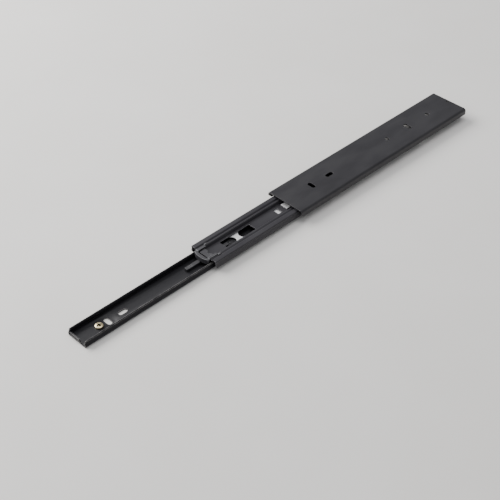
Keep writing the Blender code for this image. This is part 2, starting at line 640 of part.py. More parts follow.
def add_drawer_member(parent, finish):
    body = finish_mesh("drawer_member", extrude(drawer_section(), 0, DRAWER_LENGTH), parent, finish)
    rear_screw = DRAWER_LENGTH - DRAWER_SCREW_FROM_REAR
    rivet_hole = 2 * (RIVET_RADIUS + TOUCH)
    holes = {
        "front_hole": slot((DRAWER_SCREW_FRONT, 0), SCREW_HOLE, SCREW_HOLE),
        "cross_slot": slot((DRAWER_CROSS_SLOT, 0), SLOT_LENGTH, SCREW_HOLE, "Y"),
        "long_slot": slot((DRAWER_LONG_SLOT, 0), SLOT_LENGTH, SCREW_HOLE, "X"),
        "rear_hole": slot((rear_screw, 0), SCREW_HOLE, SCREW_HOLE),
        "rivet_hole": slot((INNER_TRAVEL + LEVER_PIVOT, 0), rivet_hole, rivet_hole),
    }
    for name, outline in holes.items():
        through(body, "drawer_" + name, outline, DRAWER_WEB_TOP, DRAWER_FACE, parent)
    clip_front(body, "drawer_front_clip", INNER_BALL_Z, DRAWER_LIP_TOP, DRAWER_CLIP, parent)
    root = DRAWER_FACE + DRAWER_SHEET / 2
    far = DRAWER_CHANNEL - TAB_FAR_GAP
    outline = [(TAB_NEAR_FOOT, root), (far, root), (far, TAB_TOP), (TAB_NEAR_TOP, TAB_TOP)]
    tab = extrude(outline, TAB_INSET, TAB_INSET + DRAWER_SHEET)
    combine(body, finish_mesh("drawer_front_tab", tab, parent, None), "UNION")


def add_screw(name, x, parent, finish):
    """A pan-head wood screw with a cross recess, its head on the drawer member's web."""
    seat = DRAWER_WEB_TOP + TOUCH / 2
    top = SCREW_HEAD_TOP
    tip = seat - SCREW_LENGTH
    profile = [
        (0, tip),
        (SCREW_RADIUS * 0.2, tip + SCREW_TIP_LENGTH),
        (SCREW_RADIUS, tip + SCREW_POINT),
        (SCREW_RADIUS, seat),
        (SCREW_HEAD_RADIUS, seat),
        (SCREW_HEAD_RADIUS, seat + SCREW_HEAD * 0.45),
        (SCREW_HEAD_RADIUS * 0.86, seat + SCREW_HEAD * 0.85),
        (SCREW_HEAD_RADIUS * 0.6, top),
        (0, top),
    ]
    body = finish_mesh(name, lathe(profile, 20), parent, finish, (x, 0, 0))
    long, short = RECESS_SPAN / 2, RECESS_WIDTH / 2
    corner = [(long, -short), (long, short), (short, short)]
    cross = [(u * cos(a) - v * sin(a), u * sin(a) + v * cos(a)) for a in QUARTERS for u, v in corner]
    recess = extrude(cross, top - RECESS_DEPTH, top + RECESS_DEPTH, "Z")
    combine(body, finish_mesh(name + "_recess", recess, parent, None, (x, 0, 0)), "DIFFERENCE")


def add_release_lever(parent, finish):
    """A flat plastic lever on the web: a finger tongue in front, a hook behind the stop block, a pivot boss
    and a thin spring tail. Its origin is on the pivot."""
    tip = LEVER_TIP - LEVER_PIVOT
    low, high = LEVER_BOTTOM, INNER_CAGE_UNDERSIDE - 2 * TOUCH
    near, far = LEVER_OFFSET - LEVER_WIDTH / 2, LEVER_OFFSET + LEVER_WIDTH / 2
    curve = LEVER_WIDTH / 4
    root = -0.8 * LEVER_BOSS_RADIUS
    bar = [(root, near), (root, far)]
    bar += arc((tip + curve, far - curve), curve, pi / 2, pi, 3)
    bar += arc((tip + curve, near + curve), curve, pi, 3 * pi / 2, 3)
    body = finish_mesh("release_lever", extrude(bar, low, high, "Z"), parent, finish)
    disc_middle = (0, 0, low + LEVER_BOSS_THICKNESS / 2)
    disc = cylinder(LEVER_BOSS_RADIUS, LEVER_BOSS_THICKNESS, disc_middle, "Z", 28)
    combine(body, finish_mesh("release_lever_boss", disc, parent, None), "UNION")
    front = STOP_FRONT + STOP_LENGTH + TOUCH - LEVER_PIVOT
    hook_top = INNER_CAGE_UNDERSIDE - TOUCH
    hook = box((front, near - HOOK_REACH, low), (front + HOOK_LENGTH, near + OVERLAP, hook_top))
    combine(body, finish_mesh("release_lever_hook", hook, parent, None), "UNION")
    leaf = extrude(TAIL_OUTLINE, low, low + LEVER_BOSS_THICKNESS, "Z")
    combine(body, finish_mesh("release_lever_tail", leaf, parent, None), "UNION")
    hole = cylinder(RIVET_RADIUS + TOUCH, 4 * LEVER_BOSS_THICKNESS, (0, 0, low), "Z")
    combine(body, finish_mesh("release_lever_hole", hole, parent, None), "DIFFERENCE")


def add_lever_rivet(parent, finish):
    """A headed rivet through the lever's boss and the drawer member's web."""
    seat = LEVER_BOTTOM + LEVER_BOSS_THICKNESS + TOUCH
    foot = DRAWER_FACE + RIVET_INSET
    profile = [
        (0, foot),
        (RIVET_RADIUS, foot),
        (RIVET_RADIUS, seat),
        (RIVET_HEAD_RADIUS, seat),
        (RIVET_HEAD_RADIUS, seat + RIVET_HEAD * 0.4),
        (RIVET_HEAD_RADIUS * 0.6, seat + RIVET_HEAD),
        (0, seat + RIVET_HEAD),
    ]
    finish_mesh("lever_rivet", lathe(profile, 20), parent, finish)


clear_scene()
black_coat = material("black_coat", (0.028, 0.027, 0.031), 0.38, 0.0)
zinc = material("bright_zinc", (0.66, 0.66, 0.67), 0.3, 1.0)
steel = material("polished_steel", (0.72, 0.72, 0.73), 0.12, 1.0)
plastic = material("black_plastic", (0.022, 0.022, 0.025), 0.45, 0.0)
rubber = material("black_rubber", (0.018, 0.018, 0.018), 0.75, 0.0)
yellow_zinc = material("yellow_zinc", (0.62, 0.54, 0.36), 0.32, 1.0)

cabinet = group("cabinet", (CABINET_FRONT, 0, 0))
outer_cage = group("outer_cage_carriage", (0, 0, 0), cabinet)
intermediate = group("intermediate", (INTERMEDIATE_FRONT - CABINET_FRONT, 0, 0), cabinet)
inner_cage = group("inner_cage_carriage", (0, 0, 0), intermediate)
drawer = group("drawer", (DRAWER_FRONT - INTERMEDIATE_FRONT, 0, 0), intermediate)
lever_pivot = group("lever_pivot", (INNER_TRAVEL + LEVER_PIVOT, 0, 0), drawer)

add_cabinet_member(cabinet, black_coat)
add_rear_buffer(cabinet, rubber)
add_outer_cage(outer_cage, zinc, steel)
add_intermediate_member(intermediate, black_coat)
add_front_bumper(intermediate, plastic)
add_rear_stop(intermediate, plastic)
add_inner_cage(inner_cage, zinc, steel)
add_drawer_member(drawer, black_coat)
add_screw("drawer_screw_front", DRAWER_SCREW_FRONT, drawer, yellow_zinc)
add_screw("drawer_screw_rear", DRAWER_LENGTH - DRAWER_SCREW_FROM_REAR, drawer, yellow_zinc)
add_release_lever(lever_pivot, plastic)
add_lever_rivet(lever_pivot, black_coat)
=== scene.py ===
"""A full-extension ball-bearing drawer slide, drawn out to its front stop.

Three rolled steel members run in one another on two rows of balls. X runs along the slide, from the drawer's
front to the cabinet's back, and the cabinet member's mounting face is the plane z = 0. Metres throughout.
"""

from math import asin, cos, pi, radians, sin, sqrt

import bmesh
import bpy
from mathutils import Matrix, Vector


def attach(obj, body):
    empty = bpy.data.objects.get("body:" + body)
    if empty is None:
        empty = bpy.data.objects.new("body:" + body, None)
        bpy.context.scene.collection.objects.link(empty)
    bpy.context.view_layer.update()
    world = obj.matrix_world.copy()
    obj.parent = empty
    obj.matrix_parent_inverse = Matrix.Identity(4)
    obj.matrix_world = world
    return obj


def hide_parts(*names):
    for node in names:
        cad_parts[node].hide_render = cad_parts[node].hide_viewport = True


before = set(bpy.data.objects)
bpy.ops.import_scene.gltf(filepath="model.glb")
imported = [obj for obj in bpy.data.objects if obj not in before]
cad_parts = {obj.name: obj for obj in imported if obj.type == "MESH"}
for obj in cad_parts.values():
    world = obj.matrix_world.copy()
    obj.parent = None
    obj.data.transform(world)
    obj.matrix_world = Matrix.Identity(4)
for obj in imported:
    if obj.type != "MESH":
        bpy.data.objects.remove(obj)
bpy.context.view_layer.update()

# ---- Cabinet member --------------------------------------------------------------------------------------
# The widest of the three channels, screwed to the cabinet through the holes in its flat web. It is rolled
# from 1.2 mm cold-rolled strip, pierced in the press before rolling, and dipped in satin black electro-coat.

mm = 0.001
slide_width = 45.5 * mm
slide_depth = 12.7 * mm
race_radius = 2.53 * mm
touch = 0.3 * mm
cabinet_front = -125 * mm
cabinet_rear = 125 * mm
cabinet_sheet = 1.2 * mm
channel_sheet = 1.0 * mm
track_lean = radians(30)
drawer_face = -slide_depth
inner_ball_z = drawer_face + 4.3 * mm
track_radius = race_radius + channel_sheet / 2
outer_ball_y = slide_width / 2 - cabinet_sheet - race_radius
outer_ball_z = inner_ball_z + 2 * track_radius * sin(track_lean)
inner_ball_y = outer_ball_y - 2 * track_radius * cos(track_lean)
screw_hole = 4.5 * mm
slot_length = 9.4 * mm
cabinet_holes = (
    (-88, slot_length, "Y"), (-63, slot_length, "X"), (24, screw_hole, "X"), (56, slot_length, "Y"),
    (88, screw_hole, "X"),
)
boss_x = 122 * mm
boss_hole = 3.2 * mm
web_corner = 1.6 * mm
cabinet_lip_angle = radians(42)
cabinet_corner_cut = 4.8 * mm
cabinet_edge = 0.13 * mm


def bend(centre, radius, start, end, steps=10):
    """Points round an arc, angles in radians."""
    turns = [start + (end - start) * i / steps for i in range(steps + 1)]
    return [(centre[0] + radius * cos(a), centre[1] + radius * sin(a)) for a in turns]


def soften(points, radius, steps=6):
    """The same path with each inner corner bent to a radius."""
    path = [points[0]]
    for before, corner, after in zip(points, points[1:], points[2:]):
        corner = Vector(corner)
        back = (Vector(before) - corner).normalized()
        on = (Vector(after) - corner).normalized()
        middle = corner + (back + on).normalized() * (radius / sin(back.angle(on) / 2))
        cut = sqrt((middle - corner).length_squared - radius**2)
        for i in range(steps + 1):
            straight = (corner + back * cut).lerp(corner + on * cut, i / steps)
            path.append(tuple(middle + (straight - middle).normalized() * radius))
    return path + [points[-1]]


def folded_strip(half, thickness):
    """Closed outline of a bent strip, from the middle line of its +Y half."""
    line = [Vector((-y, z)) for y, z in reversed(half[1:])] + [Vector(p) for p in half[1:]]
    upper, lower = [], []
    for i, point in enumerate(line):
        before = (point - line[i - 1]).normalized() if i else (line[1] - point).normalized()
        after = (line[i + 1] - point).normalized() if i + 1 < len(line) else before
        across = Vector((-(before + after).y, (before + after).x)).normalized()
        reach = thickness / 2 / across.dot(Vector((-after.y, after.x)))
        upper.append(point + across * reach)
        lower.append(point - across * reach)
    return [tuple(p) for p in upper + lower[::-1]]


def stock(name, outline, start, end, along="X"):
    """A closed solid drawn out from a flat outline, along X from (y, z), Y from (x, z) or Z from (x, y)."""
    lay = {"X": lambda p, s: (s, *p), "Y": lambda p, s: (p[0], s, p[1]), "Z": lambda p, s: (*p, s)}[along]
    shape = bmesh.new()
    near = [shape.verts.new(lay(p, start)) for p in outline]
    far = [shape.verts.new(lay(p, end)) for p in outline]
    shape.faces.new(near)
    shape.faces.new(far[::-1])
    for i in range(len(outline)):
        j = (i + 1) % len(outline)
        shape.faces.new((near[j], near[i], far[i], far[j]))
    return piece(name, shape)


def piece(name, shape):
    """A mesh made into an object of its own."""
    bmesh.ops.recalc_face_normals(shape, faces=shape.faces)
    mesh = bpy.data.meshes.new(name)
    shape.to_mesh(mesh)
    shape.free()
    made = bpy.data.objects.new(name, mesh)
    bpy.context.scene.collection.objects.link(made)
    return made


def block(name, low, high):
    """A square-edged block between two opposite corners."""
    corners = [(low[0], low[1]), (high[0], low[1]), (high[0], high[1]), (low[0], high[1])]
    return stock(name, corners, low[2], high[2], "Z")


def work(body, guide, how):
    """Cuts a guide shape out of a body, or welds it on, when the body is dressed."""
    step = body.modifiers.new(guide.name, "BOOLEAN")
    step.operation = how
    step.solver = "EXACT"
    step.object = guide


def long_hole(x, y, length, width, along="X", steps=14):
    """Outline of a round-ended hole centred at (x, y); a round one where its length is its width."""
    half = max(length - width, 0) / 2
    front = bend((half, 0), width / 2, -pi / 2, pi / 2, steps)
    rear = bend((-half, 0), width / 2, pi / 2, 3 * pi / 2, steps)
    ends = front + (rear if half else rear[1:-1])
    return [(x + u, y + v) for u, v in (ends if along == "X" else [(-v, u) for u, v in ends])]


def pierce(body, outline, top, bottom):
    """Punches an outline through the sheet between two heights."""
    work(body, stock("punch", outline, bottom - 0.4 * mm, top + 0.4 * mm, "Z"), "DIFFERENCE")


def shear_front(body, x, start, end, depth):
    """Cuts off a member's front corner, from height start on its front end to height end at this depth."""
    over = (end - start) / depth * mm
    corner = [(x - mm, start - over), (x + depth + mm, end + over), (x - mm, end + over)]
    work(body, stock("shear", corner, -slide_width, slide_width, "Y"), "DIFFERENCE")


def settle(body):
    """Makes the cuts and welds for good, and joins up what they left flat."""
    shape = bmesh.new()
    shape.from_object(body, bpy.context.evaluated_depsgraph_get())
    guides = [step.object for step in body.modifiers]
    body.modifiers.clear()
    for guide in guides:
        bpy.data.objects.remove(guide)
    bmesh.ops.remove_doubles(shape, verts=shape.verts, dist=0.002 * mm)
    bmesh.ops.dissolve_limit(shape, angle_limit=radians(0.4), verts=shape.verts, edges=shape.edges)
    shape.to_mesh(body.data)
    shape.free()


def dress(body, finish, edge, rounds=2, crease=32):
    """Breaks every sharp edge, as tumbling does, and marks the broken edges for the finish."""
    settle(body)
    body.data.materials.clear()
    body.data.materials.append(finish)
    body.data.materials.append(finish)
    body.data.shade_smooth()
    body.data.set_sharp_from_angle(angle=radians(crease))
    tumbling = body.modifiers.new("tumbling", "BEVEL")
    tumbling.width = edge
    tumbling.segments = rounds
    tumbling.limit_method = "ANGLE"
    tumbling.angle_limit = radians(crease)
    tumbling.use_clamp_overlap = False
    tumbling.harden_normals = True
    tumbling.material = 1
    rounded = body.evaluated_get(bpy.context.evaluated_depsgraph_get())
    mesh = bpy.data.meshes.new_from_object(rounded)
    mesh.name = body.name
    body.modifiers.clear()
    broken = mesh.attributes.new("broken_edge", "FLOAT", "FACE")
    for face in mesh.polygons:
        broken.data[face.index].value = float(face.material_index == 1)
        face.material_index = 0
    mesh.materials.pop(index=1)
    body.data = mesh


def fit(body, carrier, slot, *nodes):
    """Hangs a finished piece on the body that carries it, in place of the plain solids."""
    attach(body, carrier)
    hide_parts(*nodes)


def new_effect(name, numbers, results):
    """An effect shared by several finishes, with named inputs and outputs."""
    effect = bpy.data.node_groups.new(name, "ShaderNodeTree")
    for label, value in numbers.items():
        socket = effect.interface.new_socket(label, in_out="INPUT", socket_type="NodeSocketFloat")
        socket.default_value = value
    for label in results:
        effect.interface.new_socket(label, in_out="OUTPUT", socket_type="NodeSocketFloat")
    return effect, effect.nodes.new("NodeGroupInput"), effect.nodes.new("NodeGroupOutput")


def sum_of(tree, operation, first, second):
    """A Math node; each term is a number or another node's output."""
    step = tree.nodes.new("ShaderNodeMath")
    step.operation = operation
    for place, term in ((0, first), (1, second)):
        if isinstance(term, (int, float)):
            step.inputs[place].default_value = term
        else:
            tree.links.new(term, step.inputs[place])
    return step.outputs[0]


def cloud(tree, stretch, scale, detail=3.0, rough=0.55):
    """Noise in the piece's own space, drawn out by stretch (x, y, z); scale is in cells per metre."""
    place = tree.nodes.new("ShaderNodeTexCoord")
    drawn = tree.nodes.new("ShaderNodeVectorMath")
    drawn.operation = "MULTIPLY"
    drawn.inputs[1].default_value = stretch
    noise = tree.nodes.new("ShaderNodeTexNoise")
    noise.inputs["Detail"].default_value = detail
    noise.inputs["Roughness"].default_value = rough
    tree.links.new(place.outputs["Object"], drawn.inputs[0])
    tree.links.new(drawn.outputs[0], noise.inputs["Vector"])
    if isinstance(scale, (int, float)):
        noise.inputs["Scale"].default_value = scale
    else:
        tree.links.new(scale, noise.inputs["Scale"])
    return noise.outputs["Fac"]


def between(tree, value, low, high, to_low, to_high):
    """A value between low and high, carried over to another range and held at its ends."""
    step = tree.nodes.new("ShaderNodeMapRange")
    step.interpolation_type = "SMOOTHSTEP"
    for place, number in zip(range(1, 5), (low, high, to_low, to_high)):
        step.inputs[place].default_value = number
    tree.links.new(value, step.inputs[0])
    return step.outputs[0]


def tint(tree, mask, first, second):
    """From the first colour to the second as the mask goes from 0 to 1; a colour may be a node's output."""
    step = tree.nodes.new("ShaderNodeMix")
    step.data_type = "RGBA"
    tree.links.new(mask, step.inputs[0])
    for place, colour in ((6, first), (7, second)):
        if isinstance(colour, tuple):
            step.inputs[place].default_value = (*colour, 1)
        else:
            tree.links.new(colour, step.inputs[place])
    return step.outputs[2]


def place_effect(tree, effect, **numbers):
    """One of the shared effects set in a finish; an underscore in an argument is a space in its input."""
    step = tree.nodes.new("ShaderNodeGroup")
    step.node_tree = effect
    for label, value in numbers.items():
        step.inputs[label.replace("_", " ")].default_value = value
    return step.outputs


def relief(tree, shader, height, depth):
    """Feeds a height, in shares of depth, to the shader's normal."""
    bump = tree.nodes.new("ShaderNodeBump")
    bump.inputs["Distance"].default_value = depth
    tree.links.new(height, bump.inputs["Height"])
    tree.links.new(bump.outputs[0], shader.inputs["Normal"])


def new_finish(name, roughness, metallic=0.0):
    """A material, its nodes and its shader."""
    made = bpy.data.materials.new(name)
    made.use_nodes = True
    shader = made.node_tree.nodes["Principled BSDF"]
    shader.inputs["Roughness"].default_value = roughness
    shader.inputs["Metallic"].default_value = metallic
    return made, made.node_tree, shader


# Rubbed edges and painted edge highlight: where handling has polished the broken edges, in patches, and where
# the pale edge colour stands in for the light that the broken edges catch
edge_wear_and_highlight, given, out = new_effect("edge wear and highlight", {"Amount": 0.6, "Patch scale": 160}, ["Mask"])
mark = edge_wear_and_highlight.nodes.new("ShaderNodeAttribute")
mark.attribute_name = "broken_edge"
edge_patch_noise = cloud(edge_wear_and_highlight, (1, 1, 1), given.outputs["Patch scale"])
patches = between(edge_wear_and_highlight, edge_patch_noise, 0.3, 0.62, 0.25, 1)
share = sum_of(edge_wear_and_highlight, "MULTIPLY", mark.outputs["Fac"], patches)
edge_wear_and_highlight.links.new(sum_of(edge_wear_and_highlight, "MULTIPLY", share, given.outputs["Amount"]), out.inputs["Mask"])

# Rolling lines: fine grooves that the rolls and the strip's own finish leave along the member
rolling_lines, given, out = new_effect("rolling lines", {"Lines per metre": 5200}, ["Height"])
lines = cloud(rolling_lines, (0.012, 1, 1), given.outputs["Lines per metre"], detail=2)
rolling_lines.links.new(lines, out.inputs["Height"])

# Skin: the fine orange peel of a dipped or sprayed coat, and the slow drift of its gloss
coat_skin, given, out = new_effect("coat skin", {"Peel per metre": 2600}, ["Height", "Drift"])
coat_skin.links.new(cloud(coat_skin, (1, 1, 1), given.outputs["Peel per metre"]), out.inputs["Height"])
drift = between(coat_skin, cloud(coat_skin, (0.35, 1, 1), 55, detail=4), 0.32, 0.68, 0, 1)
coat_skin.links.new(drift, out.inputs["Drift"])


def electro_coat(name, colour, bloom, edge_wear_highlight, roughness, shine):
    """Satin black electro-coat: a thin even skin over the rolled strip, a little thin on its edges, which
    also carry a pale painted highlight.
    """
    made, tree, shader = new_finish(name, roughness)
    shader.inputs["Specular IOR Level"].default_value = shine
    skin = place_effect(tree, coat_skin)
    lines = place_effect(tree, rolling_lines)
    # Edge mask: real wear on the broken edges, and a painted highlight along them
    wear_and_highlight = place_effect(tree, edge_wear_and_highlight, Amount=0.75)
    body = tint(tree, skin["Drift"], colour, bloom)
    tree.links.new(tint(tree, wear_and_highlight["Mask"], body, edge_wear_highlight), shader.inputs["Base Color"])
    gloss = between(tree, skin["Drift"], 0, 1, roughness - 0.035, roughness + 0.045)
    tree.links.new(gloss, shader.inputs["Roughness"])
    height = sum_of(tree, "ADD", sum_of(tree, "MULTIPLY", lines["Height"], 0.7), skin["Height"])
    relief(tree, shader, height, 0.012 * mm)
    return made


# The pale edge colour of each coat is partly wear and partly painted highlight on the broken edges
coat = electro_coat(
    "black_coat", (0.019, 0.018, 0.021), (0.027, 0.026, 0.029), (0.16, 0.155, 0.16), 0.38, 0.4
)

flange = slide_width / 2 - cabinet_sheet / 2
web_bend = web_corner + cabinet_sheet / 2
half = [(0, -cabinet_sheet / 2)]
half += bend((flange - web_bend, -cabinet_sheet / 2 - web_bend), web_bend, pi / 2, 0)
half += bend((outer_ball_y, outer_ball_z), race_radius + cabinet_sheet / 2, 0, -cabinet_lip_angle)
channel = stock("cabinet_channel", folded_strip(half, cabinet_sheet), cabinet_front, cabinet_rear)
for x, length, along in cabinet_holes:
    pierce(channel, long_hole(x * mm, 0, length, screw_hole, along), 0, -cabinet_sheet)
pierce(channel, long_hole(boss_x, 0, boss_hole, boss_hole), 0, -cabinet_sheet)
flange_start = outer_ball_z + cabinet_sheet
corner_low = flange_start - cabinet_corner_cut
shear_front(channel, cabinet_front, flange_start, corner_low, cabinet_corner_cut)
dress(channel, coat, cabinet_edge)
fit(channel, "cabinet", "black_coat", "cabinet_member")

# ---- Rear buffer -----------------------------------------------------------------------------------------
# A soft block across the back of the cabinet member, which the other members close against. It is moulded in
# black rubber with two grooves, and its boss is pushed up through a hole in the web.


def rubber_finish():
    """Moulded rubber: a dull skin, a little chalky in patches."""
    made, tree, shader = new_finish("black_rubber", 0.78)
    skin = place_effect(tree, coat_skin, Peel_per_metre=1900)
    body = tint(tree, skin["Drift"], (0.014, 0.014, 0.014), (0.024, 0.024, 0.023))
    tree.links.new(body, shader.inputs["Base Color"])
    relief(tree, shader, skin["Height"], 0.05 * mm)
    return made


rubber = rubber_finish()
buffer_top = -cabinet_sheet - touch
buffer_side = outer_ball_y - 1.2 * mm
buffer_foot = drawer_face + 1.2 * mm
buffer_shoulder = 5 * mm
buffer_taper = 3 * mm
buffer_groove = 0.6 * mm
buffer_boss = 2.6 * mm
half = [
    (buffer_side, buffer_top), (buffer_side, buffer_top - buffer_shoulder),
    (buffer_side - buffer_taper, buffer_foot),
]
outline = half + [(-y, z) for y, z in reversed(half)]
buffer_front = cabinet_rear - 5.5 * mm
buffer = stock("buffer_block", outline, buffer_front, cabinet_rear - touch)
for y in (-6 * mm, 6 * mm):
    groove_low = (buffer_front - mm, y - buffer_groove, buffer_foot - mm)
    groove_high = (buffer_front + mm, y + buffer_groove, buffer_top - mm)
    work(buffer, block("groove", groove_low, groove_high), "DIFFERENCE")
boss = stock("boss", long_hole(boss_x, 0, buffer_boss, buffer_boss), buffer_top - mm, -touch, "Z")
work(buffer, boss, "UNION")
dress(buffer, rubber, 0.35 * mm, rounds=3)
fit(buffer, "cabinet", "black_rubber", "rear_buffer")

# ---- Outer ball cage -------------------------------------------------------------------------------------
# The strip that keeps the outer balls apart, folded down on both sides, with a tongue that stands out in
# front. It is pressed from 0.5 mm steel, zinc plated and bright, and floats between the two members.

cage_sheet = 0.5 * mm
shoulder_top = -2.5 * mm
outer_cage_z = shoulder_top + 0.65 * mm
cage_fold = 0.35 * mm + cage_sheet / 2
cage_rim = 0.55 * mm
cage_edge = 0.06 * mm
ball_end = 6 * mm
outer_ball_count = 7
outer_openings = 3
opening_share = 0.72
opening_width = 16.28 * mm


def zinc_finish():
    """Bright zinc: pale, a little cloudy from handling, over the strip's drawn surface."""
    made, tree, shader = new_finish("bright_zinc", 0.4, metallic=0.55)
    skin = place_effect(tree, coat_skin, Peel_per_metre=900)
    lines = place_effect(tree, rolling_lines, Lines_per_metre=3600)
    pale = tint(tree, skin["Drift"], (0.86, 0.86, 0.87), (0.95, 0.95, 0.95))
    tree.links.new(pale, shader.inputs["Base Color"])
    tree.links.new(between(tree, skin["Drift"], 0, 1, 0.46, 0.34), shader.inputs["Roughness"])
    relief(tree, shader, lines["Height"], 0.01 * mm)
    return made


def ball_pockets(body, places, side, height):
    """A round pocket through each folded edge for every ball."""
    guide = bmesh.new()
    for x in places:
        for y in (-side, side):
            where = Matrix.Translation((x, y, height)) @ Matrix.Rotation(pi / 2, 4, "X")
            bmesh.ops.create_cone(
                guide, cap_ends=True, segments=32, radius1=race_radius, radius2=race_radius,
                depth=2 * mm, matrix=where,
            )
    work(body, piece("pockets", guide), "DIFFERENCE")


zinc = zinc_finish()
cage_front, cage_rear = cabinet_front + 4 * mm, 10 * mm
ball_run = cage_rear - cage_front - 2 * ball_end
outer_places = [
    cage_front + ball_end + ball_run * i / (outer_ball_count - 1) for i in range(outer_ball_count)
]
skirt_foot = outer_ball_z - race_radius - cage_rim
path = [(0, outer_cage_z), (outer_ball_y, outer_cage_z), (outer_ball_y, skirt_foot)]
strip = stock("outer_cage_strip", folded_strip(soften(path, cage_fold), cage_sheet), cage_front, cage_rear)
cage_low, cage_high = outer_cage_z - cage_sheet / 2, outer_cage_z + cage_sheet / 2
floor_top = shoulder_top - 3.5 * mm
tongue_z = floor_top + touch + cage_sheet / 2
tongue_tip, tongue_bend = cabinet_front - 1.6 * mm, cabinet_front + 5 * mm
tongue_root = tongue_bend + outer_cage_z - tongue_z - 0.25 * mm
tongue_half = 4.1 * mm
notch_half = tongue_half + touch
notch = [(cage_front - mm, -notch_half), (tongue_root, -notch_half)]
notch += [(tongue_root, notch_half), (cage_front - mm, notch_half)]
pierce(strip, notch, cage_high, cage_low)
# The slope's rear end stays inside the strip's thickness, so that the two weld cleanly
slope_end = (tongue_root + 0.23 * mm, outer_cage_z - 0.02 * mm)
slope = soften([(tongue_tip, tongue_z), (tongue_bend, tongue_z), slope_end], 0.6 * mm)
thick = cage_sheet / 2
side_lean = [Vector((b[0] - a[0], b[1] - a[1])).normalized() for a, b in zip(slope, slope[1:])]
side_lean.append(side_lean[-1])
upper = [(x - thick * lean.y, z + thick * lean.x) for (x, z), lean in zip(slope, side_lean)]
lower = [(x + thick * lean.y, z - thick * lean.x) for (x, z), lean in zip(slope, side_lean)]
work(strip, stock("tongue", upper + lower[::-1], -tongue_half, tongue_half, "Y"), "UNION")
pitch = (cage_rear - cage_front) / outer_openings
for i in range(outer_openings):
    opening = long_hole(cage_front + pitch * (i + 0.5), 0, pitch * opening_share, opening_width)
    pierce(strip, opening, cage_high, cage_low)
ball_pockets(strip, outer_places, outer_ball_y, outer_ball_z)
dress(strip, zinc, cage_edge)
fit(strip, "outer_cage", "bright_zinc", "outer_cage")

# ---- Outer balls -----------------------------------------------------------------------------------------
# Seven 4.76 mm bearing balls a side carry the intermediate member in the cabinet member. They are hardened
# chrome steel, ground and polished, with a thin film of grease that dulls them a little.

ball_radius = 2.38 * mm


def steel_finish(name, rough_low, rough_high):
    """Polished steel under a patchy film of grease."""
    made, tree, shader = new_finish(name, rough_low, metallic=1.0)
    film = between(tree, cloud(tree, (1, 1, 1), 420), 0.35, 0.7, 0, 1)
    tree.links.new(tint(tree, film, (0.78, 0.78, 0.79), (0.62, 0.61, 0.57)), shader.inputs["Base Color"])
    tree.links.new(between(tree, film, 0, 1, rough_low, rough_high), shader.inputs["Roughness"])
    return made


def ball_row(name, places, y, z, finish):
    """The balls of one side of a cage."""
    row = bmesh.new()
    for x in places:
        where = Matrix.Translation((x, y, z))
        bmesh.ops.create_icosphere(row, subdivisions=3, radius=ball_radius, matrix=where)
    balls = piece(name, row)
    balls.data.shade_smooth()
    balls.data.materials.append(finish)
    return balls


ball_steel = steel_finish("ball_steel", 0.08, 0.24)
for side, y in (("left", outer_ball_y), ("right", -outer_ball_y)):
    row = ball_row(f"outer_balls_{side}", outer_places, y, outer_ball_z, ball_steel)
    nodes = [f"outer_ball_{side}_{i}" for i in range(1, outer_ball_count + 1)]
    fit(row, "outer_cage", "polished_steel", *nodes)

# ---- Intermediate member ---------------------------------------------------------------------------------
# The middle section: a pressed floor sunk between two crests, with a window and a small hole, and flanges
# folded in an S with a groove for each row of balls. Rolled from 1 mm strip and electro-coated black.

middle_front, middle_rear = -230 * mm, 14 * mm
drawer_sheet = 1.2 * mm
drawer_channel = inner_ball_y - race_radius - drawer_sheet
drawer_lip_top = inner_ball_z + (race_radius + drawer_sheet) * sin(pi / 4)
inner_cage_wall = drawer_channel - 0.45 * mm - cage_sheet / 2
inner_cage_step = drawer_lip_top + touch
crest_y = inner_cage_wall - cage_sheet / 2 - 0.45 * mm - channel_sheet / 2
crest_z = shoulder_top - 0.5 * mm - channel_sheet / 2
floor_low = floor_top - channel_sheet
floor_half = crest_y - 1.0 * mm
valley_gap = 0.26 * mm
valley_z = inner_cage_step + cage_sheet + valley_gap + channel_sheet / 2
fold = 0.2 * mm + channel_sheet / 2
fold_z = shoulder_top - channel_sheet / 2 - fold
fold_angle = asin((fold_z - outer_ball_z) / (track_radius + fold))
fold_y = outer_ball_y - (track_radius + fold) * cos(fold_angle)
pressed = [
    (0, floor_top - channel_sheet / 2), (floor_half, floor_top - channel_sheet / 2), (crest_y, crest_z),
    (crest_y + 0.9 * mm, crest_z), (crest_y + 2.2 * mm, valley_z), (crest_y + 3.0 * mm, valley_z),
    (crest_y + 4.0 * mm, shoulder_top - channel_sheet / 2), (fold_y, shoulder_top - channel_sheet / 2),
]
half = soften(pressed, 0.55 * mm)[:-1]
half += bend((fold_y, fold_z), fold, pi / 2, -fold_angle)
half += bend((outer_ball_y, outer_ball_z), track_radius, pi - fold_angle, pi + track_lean, 14)[1:]
half += bend((inner_ball_y, inner_ball_z), track_radius, track_lean, -radians(60), 14)[1:]
channel = stock("intermediate_channel", folded_strip(half, channel_sheet), middle_front, middle_rear)
window_front, window_rear = middle_front + 24 * mm, middle_front + 62 * mm
window_half = 4.7 * mm
window_bow = 0.5 * mm
rows = [i / 6 - 1 for i in range(13)]
curve = [(window_rear - window_bow * (1 - row**2), row * window_half) for row in rows]
pierce(channel, [(window_front, window_half), (window_front, -window_half)] + curve, floor_top, floor_low)
peep_front = middle_front + 92.7 * mm
peep = [(0, -3.7), (4.6, -3.7), (4.6, 3.7), (0, 3.7)]
pierce(channel, [(peep_front + x * mm, y * mm) for x, y in peep], floor_top, floor_low)
stop_x = middle_front + 238 * mm
pin_hole = 3.6 * mm
pierce(channel, long_hole(stop_x, 0, pin_hole, pin_hole), floor_top, floor_low)
